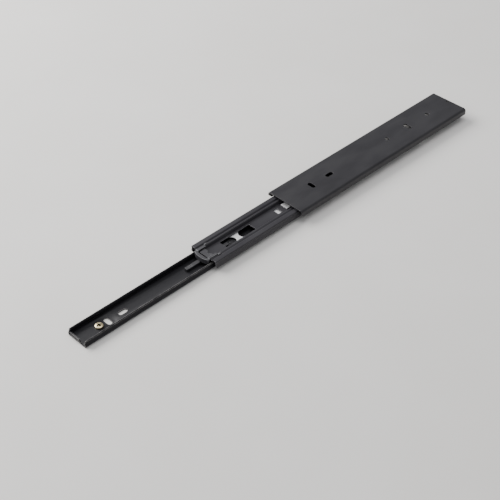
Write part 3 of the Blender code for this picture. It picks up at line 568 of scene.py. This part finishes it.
# A notch through each valley, where the bumper's hook comes up
hook_front = middle_front + 8.6 * mm
notch_rear = hook_front + 4.6 * mm
notch_in, notch_out = 8.2 * mm, 10.9 * mm
for side in (-1, 1):
    notch = [(hook_front, side * notch_in), (notch_rear, side * notch_in)]
    notch += [(notch_rear, side * notch_out), (hook_front, side * notch_out)]
    pierce(channel, notch, shoulder_top - 0.4 * mm, valley_z - 0.6 * mm)
middle_corner_cut = 2.2 * mm
shear_front(channel, middle_front, inner_ball_z, drawer_face, middle_corner_cut)
# A lighter copy of the black coat: its brighter base colour is painted fill light on the intermediate member,
# and its pale edge colour is partly wear, partly painted highlight
lit_middle_coat = electro_coat(
    "lit_intermediate_coat", (0.022, 0.0205, 0.025), (0.03, 0.0285, 0.033), (0.34, 0.33, 0.35), 0.36, 0.45
)
dress(channel, lit_middle_coat, 0.14 * mm)
fit(channel, "intermediate", "black_coat", "intermediate_member")

# ---- Front bumper ----------------------------------------------------------------------------------------
# A clip on the intermediate member's front edge, with a bowed lip in front, a plate on the floor, a grip and
# a stop block under it, and two hooks that snap up through the sheet. Moulded in black plastic.


def plastic_finish(name, colour, bloom, edge_wear_highlight):
    """Moulded plastic: a fine sparked texture, and pale where it has been rubbed; the pale edge colour is
    also a painted highlight.
    """
    made, tree, shader = new_finish(name, 0.46)
    skin = place_effect(tree, coat_skin, Peel_per_metre=3400)
    # Edge mask: rubbed wear on the broken edges, and a painted highlight along them
    wear_and_highlight = place_effect(tree, edge_wear_and_highlight, Amount=0.7, Patch_scale=260)
    body = tint(tree, skin["Drift"], colour, bloom)
    tree.links.new(tint(tree, wear_and_highlight["Mask"], body, edge_wear_highlight), shader.inputs["Base Color"])
    tree.links.new(between(tree, skin["Drift"], 0, 1, 0.42, 0.5), shader.inputs["Roughness"])
    relief(tree, shader, skin["Height"], 0.03 * mm)
    return made


plastic = plastic_finish("black_plastic", (0.032, 0.031, 0.036), (0.045, 0.044, 0.049), (0.34, 0.34, 0.35))
bumper_low = floor_low - 2 * touch - cage_sheet
lip_rear = middle_front - touch
lip_reach = 4.7 * mm
lip_half = 9.2 * mm
lip_bow = 2.2 * mm
bow = [(1 - i / 12) for i in range(25)]
lip = [(lip_rear - lip_reach + lip_bow * share**2, lip_half * share) for share in bow]
crest_top = shoulder_top - 0.5 * mm
bumper = stock("bumper_clip", [(lip_rear, lip_half), *lip, (lip_rear, -lip_half)], bumper_low, crest_top, "Z")
inside = floor_half - channel_sheet - 0.7 * mm
plate_low = floor_top + touch / 2
plate_top = plate_low + 2.2 * mm
plate_rear = middle_front + 6.7 * mm
lap = 0.5 * mm
work(bumper, block("plate", (lip_rear - lap, -inside, plate_low), (plate_rear, inside, plate_top)), "UNION")
grip_rear = middle_front + 4.8 * mm
grip_top = floor_low - touch / 2
work(bumper, block("grip", (lip_rear - lap, -inside, bumper_low), (grip_rear, inside, grip_top)), "UNION")
stop_foot = drawer_face + drawer_sheet + 1.95 * mm + 0.225 * mm
stop_low = (middle_front + 1.6 * mm, -inside, stop_foot)
stop_high = (grip_rear, -1.35 * mm, bumper_low + lap / 2)
work(bumper, block("stop", stop_low, stop_high), "UNION")
finger = long_hole(plate_rear, -1.2 * mm, 2.6 * mm, 4.6 * mm, "Y")
work(bumper, stock("scoop", finger, plate_low + lap, plate_top + mm, "Z"), "DIFFERENCE")
for side, label in ((1, "left"), (-1, "right")):
    low_y, high_y = sorted((side * 6.6 * mm, side * 9.0 * mm))
    arm_low = (lip_rear - lap, low_y, crest_top - 0.3 * mm)
    arm_high = (hook_front + 0.3 * mm, high_y, crest_top + 0.65 * mm)
    work(bumper, block(f"arm_{label}", arm_low, arm_high), "UNION")
slit_x = middle_front - 1.1 * mm
slit_low = (slit_x - 0.3 * mm, -5 * mm, crest_top - 1.4 * mm)
slit_high = (slit_x + 0.3 * mm, 5 * mm, crest_top + mm)
work(bumper, block("slit", slit_low, slit_high), "DIFFERENCE")
plastic_edge = 0.2 * mm
dress(bumper, plastic, plastic_edge, rounds=3)
fit(bumper, "intermediate", "black_plastic", "front_bumper")
for side, label in ((1, "left"), (-1, "right")):
    low_y, high_y = sorted((side * 8.75 * mm, side * 10.4 * mm))
    hook = block(
        f"bumper_hook_{label}", (hook_front + 0.7 * mm, low_y, valley_z - 0.2 * mm),
        (hook_front + 3.4 * mm, high_y, crest_top + 0.55 * mm),
    )
    dress(hook, plastic, 0.3 * mm, rounds=3)
    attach(hook, "intermediate")

# ---- Rear stop -------------------------------------------------------------------------------------------
# A block under the back of the intermediate member's floor, that keeps the drawer member in. Moulded in black
# plastic in one with the headed pin that holds it up through the floor.


def turned(name, profile, segments, x=0.0, y=0.0):
    """A closed solid turned about an upright axis from (radius, z) points that start and end on it."""
    shape = bmesh.new()
    spin = [(cos(2 * pi * i / segments), sin(2 * pi * i / segments)) for i in range(segments)]
    rings = [[shape.verts.new((x + r * c, y + r * s, z)) for c, s in spin] for r, z in profile[1:-1]]
    tips = [shape.verts.new((x, y, profile[0][1])), shape.verts.new((x, y, profile[-1][1]))]
    for i in range(segments):
        j = (i + 1) % segments
        shape.faces.new((tips[0], rings[0][i], rings[0][j]))
        shape.faces.new((tips[1], rings[-1][j], rings[-1][i]))
        for one, two in zip(rings, rings[1:]):
            shape.faces.new((one[i], two[i], two[j], one[j]))
    return piece(name, shape)


stop_half_length, stop_half_width = 4 * mm, 6 * mm
rear_stop = block(
    "stop_block", (stop_x - stop_half_length, -stop_half_width, stop_foot),
    (stop_x + stop_half_length, stop_half_width, grip_top),
)
pin_head = floor_top + touch / 2
pin_radius, pin_head_radius, pin_head_height = 1.5 * mm, 2.7 * mm, 0.9 * mm
profile = [
    (0, stop_foot + lap), (pin_radius, stop_foot + lap), (pin_radius, pin_head), (pin_head_radius, pin_head),
    (pin_head_radius, pin_head + 0.35 * mm), (2.25 * mm, pin_head + pin_head_height),
    (0, pin_head + pin_head_height),
]
work(rear_stop, turned("pin", profile, 32, stop_x), "UNION")
dress(rear_stop, plastic, plastic_edge, rounds=3)
fit(rear_stop, "intermediate", "black_plastic", "rear_stop")

# ---- Inner ball cage -------------------------------------------------------------------------------------
# The narrow cage, dished under the sunk floor and stepped over the drawer member's lips, so that it shows
# bright through the window and the small hole. Pressed from 0.5 mm steel and zinc plated.

inner_front, inner_rear = middle_front + 7 * mm, middle_front + 98 * mm
inner_ball_count = 6
ball_run = inner_rear - inner_front - 2 * ball_end
inner_places = [
    inner_front + ball_end + ball_run * i / (inner_ball_count - 1) for i in range(inner_ball_count)
]
inner_cage_z = floor_low - touch - cage_sheet / 2
step_z = inner_cage_step + cage_sheet / 2
path = [
    (0, inner_cage_z), (inner_cage_wall, inner_cage_z), (inner_cage_wall, step_z), (inner_ball_y, step_z),
    (inner_ball_y, inner_ball_z - race_radius - cage_rim),
]
strip = stock("inner_cage_strip", folded_strip(soften(path, cage_fold), cage_sheet), inner_front, inner_rear)
bridge = middle_front + 42.4 * mm
slot_step = 16.15 * mm
cage_slot_length, cage_slot_width = 27 * mm, 11.6 * mm
cage_low, cage_high = inner_cage_z - cage_sheet / 2, inner_cage_z + cage_sheet / 2
for x in (bridge - slot_step, bridge + slot_step):
    pierce(strip, long_hole(x, 0, cage_slot_length, cage_slot_width), cage_high, cage_low)
ball_pockets(strip, inner_places, inner_ball_y, inner_ball_z)
dress(strip, zinc, cage_edge)
fit(strip, "inner_cage", "bright_zinc", "inner_cage")

# ---- Inner balls -----------------------------------------------------------------------------------------
# Six balls a side, the same as the outer ones, that carry the drawer member in the intermediate member. They
# sit in the cage's pockets and run in the grooves of both members.

for side, y in (("left", inner_ball_y), ("right", -inner_ball_y)):
    row = ball_row(f"inner_balls_{side}", inner_places, y, inner_ball_z, ball_steel)
    nodes = [f"inner_ball_{side}_{i}" for i in range(1, inner_ball_count + 1)]
    fit(row, "inner_cage", "polished_steel", *nodes)

# ---- Drawer member ---------------------------------------------------------------------------------------
# The narrow channel, screwed to the drawer's side through its web, with a groove outside each flange for the
# inner balls and a tab turned up at the front. Rolled from 1.2 mm strip and electro-coated black.

drawer_front, drawer_rear = -375 * mm, -131.5 * mm
web_top = drawer_face + drawer_sheet
web_fold = 0.4 * mm + drawer_sheet / 2
groove_radius = race_radius + drawer_sheet / 2
web_fold_z = drawer_face + drawer_sheet / 2 + web_fold
web_angle = asin((web_fold_z - inner_ball_z) / (groove_radius + web_fold))
half = [(0, drawer_face + drawer_sheet / 2)]
web_fold_y = inner_ball_y - (groove_radius + web_fold) * cos(web_angle)
half += bend((web_fold_y, web_fold_z), web_fold, -pi / 2, -web_angle)
half += bend((inner_ball_y, inner_ball_z), groove_radius, pi - web_angle, pi - pi / 4, 14)[1:]
channel = stock("drawer_channel", folded_strip(half, drawer_sheet), drawer_front, drawer_rear)
drawer_corner_cut = 2 * mm
shear_front(channel, drawer_front, inner_ball_z, drawer_lip_top, drawer_corner_cut)
tab_top = bumper_low - touch
tab_root = web_top - 0.6 * mm
tab_side = drawer_channel - 0.4 * mm
tab_front = drawer_front + 0.1 * mm
tab = [(-5 * mm, tab_root), (tab_side, tab_root), (tab_side, tab_top), (-3 * mm, tab_top)]
work(channel, stock("tab", tab, tab_front, tab_front + drawer_sheet), "UNION")
pivot_x = middle_front + 35 * mm
pivot_hole = 3.6 * mm
cross_slot_x = drawer_front + 33.4 * mm
dish_radius, dish_depth = 7.6 * mm, 0.25 * mm
dish = [(0, web_top + mm), (dish_radius, web_top + mm), (dish_radius, web_top)]
dish += [(7.0 * mm, web_top - dish_depth), (0, web_top - dish_depth)]
work(channel, turned("dish", dish, 64, cross_slot_x), "DIFFERENCE")
drawer_holes = (
    (24, screw_hole, "X"), (33.4, slot_length, "Y"), (50, slot_length, "X"), (226.5, screw_hole, "X")
)
for x, length, along in drawer_holes:
    pierce(channel, long_hole(drawer_front + x * mm, 0, length, screw_hole, along), web_top, drawer_face)
pierce(channel, long_hole(pivot_x, 0, pivot_hole, pivot_hole), web_top, drawer_face)
# A darker copy of the black coat: its darker base colour is painted shade, for the shadow down in the drawer
# member's channel; its pale edge colour is partly wear, partly painted highlight
shaded_drawer_coat = electro_coat(
    "shaded_drawer_coat", (0.0095, 0.0092, 0.0118), (0.0145, 0.014, 0.0168), (0.42, 0.41, 0.40), 0.44, 0.26
)
dress(channel, shaded_drawer_coat, 0.2 * mm)
fit(channel, "drawer", "black_coat", "drawer_member")

# ---- Release lever ---------------------------------------------------------------------------------------
# A flat lever on the drawer member's web: a finger tongue in front, a hook behind the stop block, a pivot
# boss and a thin spring tail that leans on the flange. Moulded in one piece of black plastic.

lever_low, lever_high = web_top + touch, inner_cage_z - cage_sheet / 2 - 2 * touch
near, far = -0.9 * mm, 3.1 * mm
tip_x = middle_front - 21 * mm
boss_top = lever_low + 1.5 * mm
bar = [(pivot_x - 4 * mm, near), (pivot_x - 4 * mm, far)]
bar += bend((tip_x + mm, far - mm), mm, pi / 2, pi, 6) + bend((tip_x + mm, near + mm), mm, pi, 3 * pi / 2, 6)
lever = stock("lever_arm", bar, lever_low, lever_high, "Z")
boss_radius = 5 * mm
rim = [(0, lever_low), (boss_radius, lever_low), (boss_radius, boss_top), (0, boss_top)]
work(lever, turned("boss", rim, 48, pivot_x), "UNION")
catch_front = grip_rear + touch
catch_top = inner_cage_z - cage_sheet / 2 - touch
catch_reach, catch_length = 3.4 * mm, 3.2 * mm
catch_low = (catch_front, near - catch_reach, lever_low)
catch_high = (catch_front + catch_length, near + lap, catch_top)
work(lever, block("hook", catch_low, catch_high), "UNION")
leaf = [(pivot_x + x * mm, y * mm) for x, y in ((3.5, -0.5), (20, -3.4), (20, -2.6), (3.5, 0.9))]
work(lever, stock("leaf", leaf, lever_low, boss_top, "Z"), "UNION")
bore_radius = 1.8 * mm
bore = [(0, lever_low - mm), (bore_radius, lever_low - mm)]
bore += [(bore_radius, lever_high + mm), (0, lever_high + mm)]
work(lever, turned("bore", bore, 32, pivot_x), "DIFFERENCE")
grip_start, grip_pitch, grip_groove, grip_depth = 3.2, 1.7, 0.6 * mm, 0.3 * mm
for i in range(3):
    x = tip_x + (grip_start + grip_pitch * i) * mm
    groove_low = (x, near - mm, lever_high - grip_depth)
    groove_high = (x + grip_groove, far + mm, lever_high + mm)
    work(lever, block("groove", groove_low, groove_high), "DIFFERENCE")
lever_plastic = plastic_finish(
    "lever_plastic", (0.02, 0.0195, 0.022), (0.028, 0.0275, 0.031), (0.08, 0.08, 0.085)
)
dress(lever, lever_plastic, plastic_edge, rounds=3)
fit(lever, "lever", "black_plastic", "release_lever")

# ---- Lever rivet -----------------------------------------------------------------------------------------
# The headed pin that the lever turns on, set through its boss and the drawer member's web. It is cold headed
# from steel wire and coated black with the member.

seat = boss_top + touch
rivet_foot = drawer_face + 0.2 * mm
rivet_radius, rivet_head = 1.5 * mm, 2.9 * mm
crown = [(rivet_head * cos(a), seat + (0.3 + 0.65 * sin(a)) * mm) for a in (0.35, 0.7, 1.05)]
profile = [
    (0, rivet_foot), (rivet_radius, rivet_foot), (rivet_radius, seat), (rivet_head, seat),
    (rivet_head, seat + 0.3 * mm), *crown, (0, seat + 0.95 * mm),
]
rivet = turned("rivet_pin", profile, 40, pivot_x)
# The rivet takes the same darker copy of the coat, painted shade included
dress(rivet, shaded_drawer_coat, 0.06 * mm)
fit(rivet, "drawer", "black_coat", "lever_rivet")

# ---- Drawer screws ---------------------------------------------------------------------------------------
# Two pan-head wood screws through the drawer member's web into the drawer, one near each end. They are cold
# headed with a cross recess, the thread is rolled, and they are zinc plated and passivated yellow.


def yellow_zinc_finish():
    """Yellow-passivated zinc: straw, with a faint bloom of pink and green where the film is thicker, and
    painted shade in the bottom of the cross recess.
    """
    made, tree, shader = new_finish("yellow_zinc", 0.34, metallic=1.0)
    film = between(tree, cloud(tree, (1, 1, 1), 300), 0.3, 0.7, 0, 1)
    bloom = between(tree, cloud(tree, (1, 1, 1), 620), 0.45, 0.75, 0, 0.5)
    straw = tint(tree, film, (0.56, 0.47, 0.28), (0.66, 0.58, 0.38))
    wear_and_highlight = place_effect(tree, edge_wear_and_highlight, Amount=0.5, Patch_scale=500)
    tinted = tint(tree, bloom, straw, (0.52, 0.42, 0.34))
    bare = tint(tree, wear_and_highlight["Mask"], tinted, (0.86, 0.82, 0.70))
    # Painted shade: faces marked deep in the cross recess are darkened to near black, in place of the shadow
    # there
    recess_shade_paint = tree.nodes.new("ShaderNodeAttribute")
    recess_shade_paint.attribute_name = "recess"
    tree.links.new(tint(tree, recess_shade_paint.outputs["Fac"], bare, (0.035, 0.028, 0.012)), shader.inputs["Base Color"])
    tree.links.new(between(tree, film, 0, 1, 0.3, 0.42), shader.inputs["Roughness"])
    return made


def wood_screw(name, x, finish):
    """The pan head and its neck, with a cross recess whose bottom is darkened with painted shade."""
    seat = web_top + 0.15 * mm
    neck_foot = seat - 0.6 * mm
    top = seat + 1.8 * mm
    neck_radius, head_radius = 1.5 * mm, 3.85 * mm
    steps = [pi / 2 * i / 10 for i in range(1, 10)]
    dome = [(head_radius * cos(a), seat + (1.05 + 0.75 * sin(a)) * mm) for a in steps]
    profile = [(0, neck_foot), (neck_radius, neck_foot), (neck_radius, seat), (head_radius, seat)]
    head = turned(name, profile + [(head_radius, seat + 1.05 * mm), *dome, (0, top)], 48, x)
    wing, half_width = 2.35 * mm, 0.75 * mm
    corner = [(wing, -half_width), (wing, half_width), (half_width, half_width)]
    turns = [pi / 2 * i for i in range(4)]
    cross = [(x + u * cos(a) - v * sin(a), u * sin(a) + v * cos(a)) for a in turns for u, v in corner]
    work(head, stock("driver", cross, top - 1.1 * mm, top + mm, "Z"), "DIFFERENCE")
    dress(head, finish, 0.07 * mm)
    # Faces deep in the cross recess are marked here for the painted shade in the finish
    dark = head.data.attributes.new("recess", "FLOAT", "FACE")
    for face in head.data.polygons:
        reach = sqrt((face.center.x - x) ** 2 + face.center.y**2)
        dark.data[face.index].value = float(reach < wing + 0.05 * mm and face.center.z < top - 0.3 * mm)
    return head


def rolled_thread(name, x, finish):
    """The shank: one helical ridge round a core that tapers to the point."""
    seat = web_top - 0.3 * mm
    tip = web_top + 0.15 * mm - 13 * mm
    shape = bmesh.new()
    around, up = 28, 110
    pitch, point_length, run_out = 1.5 * mm, 3 * mm, 1.2 * mm
    core_radius, ridge_height = 1.2 * mm, 0.55 * mm
    rings = []
    for j in range(up + 1):
        z = tip + (seat - tip) * j / up
        taper = min(1.0, (z - tip) / point_length + 0.04)
        thread = min(1.0, max(0.0, (seat - z) / run_out))
        ring = []
        for i in range(around):
            phase = ((z - tip) / pitch + i / around) % 1
            ridge = max(0.0, 1 - abs(phase - 0.5) / 0.24)
            radius = (core_radius + ridge_height * ridge * thread) * taper
            angle = 2 * pi * i / around
            ring.append(shape.verts.new((x + radius * cos(angle), radius * sin(angle), z)))
        rings.append(ring)
    for one, two in zip(rings, rings[1:]):
        for i in range(around):
            j = (i + 1) % around
            shape.faces.new((one[i], one[j], two[j], two[i]))
    shape.faces.new(rings[0][::-1])
    shape.faces.new(rings[-1])
    shank = piece(name, shape)
    shank.data.shade_smooth()
    shank.data.materials.append(finish)
    return shank


yellow_zinc = yellow_zinc_finish()
for label, x in (("front", drawer_front + 24 * mm), ("rear", drawer_rear - 17 * mm)):
    head = wood_screw(f"{label}_screw_head", x, yellow_zinc)
    fit(head, "drawer", "yellow_zinc", f"drawer_screw_{label}")
    shank = rolled_thread(f"{label}_screw_thread", x, yellow_zinc)
    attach(shank, "drawer")

# ---- Floor, light and camera -----------------------------------------------------------------------------
# A pale matt table top that the drawer member lies on, and plain soft studio light: a large box on the far
# side, a weaker one overhead and an even surround.


def table_finish():
    """Pale matt laminate, barely uneven."""
    made, tree, shader = new_finish("pale_table", 0.7)
    drift = between(tree, cloud(tree, (1, 1, 1), 6), 0.3, 0.7, 0, 1)
    pale = tint(tree, drift, (0.80, 0.785, 0.755), (0.83, 0.815, 0.79))
    tree.links.new(pale, shader.inputs["Base Color"])
    return made


floor_shape = bmesh.new()
bmesh.ops.create_grid(floor_shape, x_segments=8, y_segments=8, size=6)
floor = piece("table_top", floor_shape)
floor.location = (-125 * mm, 0, drawer_face - 0.05 * mm)
floor.data.materials.append(table_finish())


def soft_box(name, place, target, width, height, watts, colour):
    """A rectangular lamp turned towards the slide."""
    lamp = bpy.data.lights.new(name, "AREA")
    lamp.shape = "RECTANGLE"
    lamp.size, lamp.size_y = width, height
    lamp.energy = watts
    lamp.color = colour
    box = bpy.data.objects.new(name, lamp)
    box.location = place
    box.rotation_mode = "QUATERNION"
    box.rotation_quaternion = (Vector(target) - Vector(place)).to_track_quat("-Z", "Y")
    bpy.context.scene.collection.objects.link(box)


middle = (-0.15, 0, 0)
soft_box("far_side", (-0.55, 1.35, 0.95), middle, 1.5, 0.9, 46, (1, 0.99, 0.98))
soft_box("overhead", (0.1, 0.3, 1.7), middle, 1.2, 1.0, 10, (0.99, 0.99, 1))
surround = bpy.data.worlds.new("studio")
surround.use_nodes = True
surround.node_tree.nodes["Background"].inputs["Color"].default_value = (0.93, 0.94, 0.97, 1)
surround.node_tree.nodes["Background"].inputs["Strength"].default_value = 0.5
bpy.context.scene.world = surround

lens = bpy.data.cameras.new("view")
lens.lens = 80.64
lens.sensor_width = 36
lens.clip_start, lens.clip_end = 0.05, 30
camera = bpy.data.objects.new("view", lens)
right, up = Vector((0.72092, -0.69285, -0.01513)), Vector((0.45589, 0.45769, 0.76334))
turn = Matrix((right, up, right.cross(up))).transposed()
# A step to the right of the viewpoint keeps the whole slide in view
view_place = Vector((-0.7668, -0.5590, 0.6578)) + right * (52 * mm)
camera.matrix_world = Matrix.Translation(view_place) @ turn.to_4x4()
bpy.context.scene.collection.objects.link(camera)
bpy.context.scene.camera = camera
